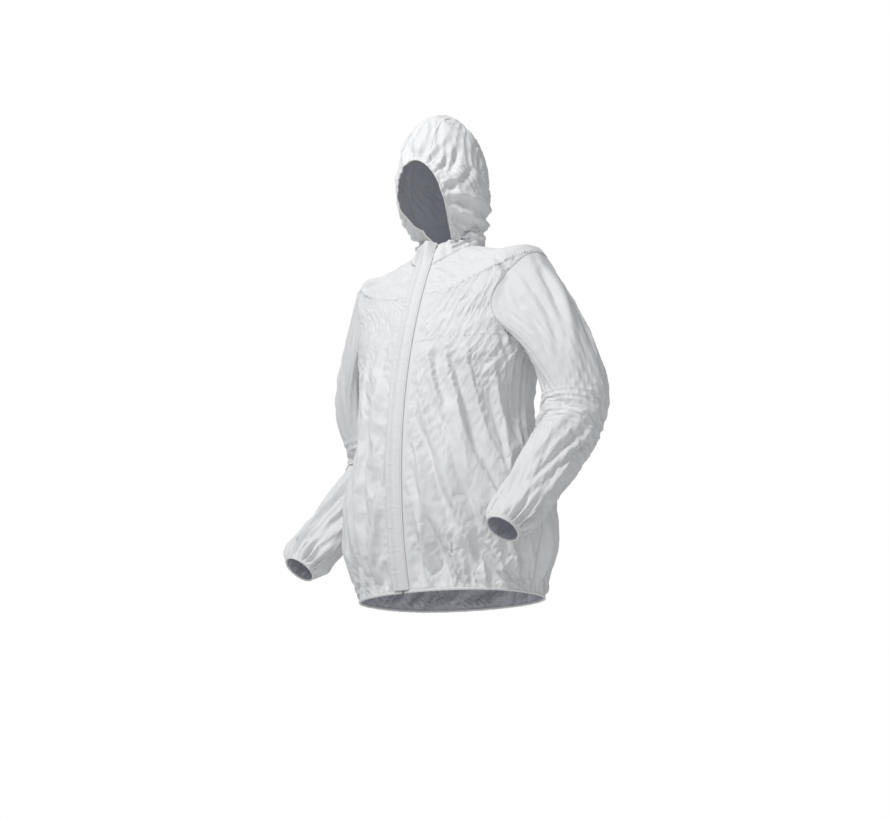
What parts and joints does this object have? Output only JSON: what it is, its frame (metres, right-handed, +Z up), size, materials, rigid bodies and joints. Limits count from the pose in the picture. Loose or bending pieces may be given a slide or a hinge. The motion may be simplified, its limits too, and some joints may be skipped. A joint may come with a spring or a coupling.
{
  "type": "hooded protective jacket",
  "caption": "White hooded protective jacket of thin non-woven fabric, shaped as worn, with a covered front zip and elastic at the face, wrists and hem.",
  "frame": {"origin": "midway between the two side points of the neck, where the jacket hangs on the wearer's shoulders", "axes": "+X the wearer's left, +Y the back, +Z up"},
  "size_m": [0.7493, 0.3823, 1.075],
  "materials": {
    "fabric": "matt white non-woven, faintly satiny",
    "thread": "white overlocked edge",
    "elastic": "woven elastic",
    "zip_tape": "woven tape",
    "zip_coil": "moulded coil",
    "zip_fitting": "painted",
    "label": "blank woven label"
  },
  "bodies": {
    "jacket": {"front_panel_left": "fabric", "front_panel_right": "fabric", "back_panel": "fabric", "hood_neck_side_left": "fabric", "hood_neck_side_right": "fabric", "hood_neck_middle": "fabric", "side_seam_left": "thread", "side_seam_right": "thread", "shoulder_seam_left": "thread", "shoulder_seam_right": "thread", "armhole_seam_left": "thread", "armhole_seam_right": "thread", "neck_seam": "thread", "flap_seam": "thread", "hem_elastic": "elastic", "zip_tape_left": "zip_tape", "zip_tape_right": "zip_tape", "zip_coil_left": "zip_coil", "zip_coil_right": "zip_coil", "zip_pin": "zip_fitting", "zip_box": "zip_fitting", "zip_top_stop_left": "zip_fitting", "zip_top_stop_right": "zip_fitting", "size_label": "label"},
    "slider": {"zip_slider": "zip_fitting"},
    "pull": {"zip_pull": "zip_fitting"},
    "flap": {"storm_flap": "fabric"},
    "hood": {"hood_side_left": "fabric", "hood_side_right": "fabric", "hood_middle": "fabric", "face_elastic": "elastic", "hood_seam_left": "thread", "hood_seam_right": "thread"},
    "left_sleeve": {"sleeve_left": "fabric", "cuff_elastic_left": "elastic", "sleeve_seam_left": "thread"},
    "right_sleeve": {"sleeve_right": "fabric", "cuff_elastic_right": "elastic", "sleeve_seam_right": "thread"}
  },
  "joints": [
    {"name": "zip_travel", "type": "hinge", "parent": "jacket", "child": "slider", "pos_m": [0, 0.967, -0.505], "axis": [1, 0, 0], "range_deg": [0, 36.3]},
    {"name": "pull_swing", "type": "hinge", "parent": "slider", "child": "pull", "pos_m": [0, -0.07139, -0.00304], "axis": [-1, 0, 0], "range_deg": [0, 12]},
    {"name": "flap_open", "type": "hinge", "parent": "jacket", "child": "flap", "pos_m": [0.017, -0.1836, -0.37205], "axis": [0, 0.1148, 0.9934], "range_deg": [0, 35]},
    {"name": "hood_fold", "type": "hinge", "parent": "jacket", "child": "hood", "pos_m": [0, 0.076, 0.055], "axis": [-1, 0, 0], "range_deg": [0, 35]},
    {"name": "left_sleeve_lift", "type": "hinge", "parent": "jacket", "child": "left_sleeve", "pos_m": [0.24, 0.012, -0.034], "axis": [0, -1, 0], "range_deg": [0, 30]},
    {"name": "right_sleeve_lift", "type": "hinge", "parent": "jacket", "child": "right_sleeve", "pos_m": [-0.24, 0.012, -0.034], "axis": [0, 1, 0], "range_deg": [0, 30]}
  ]
}
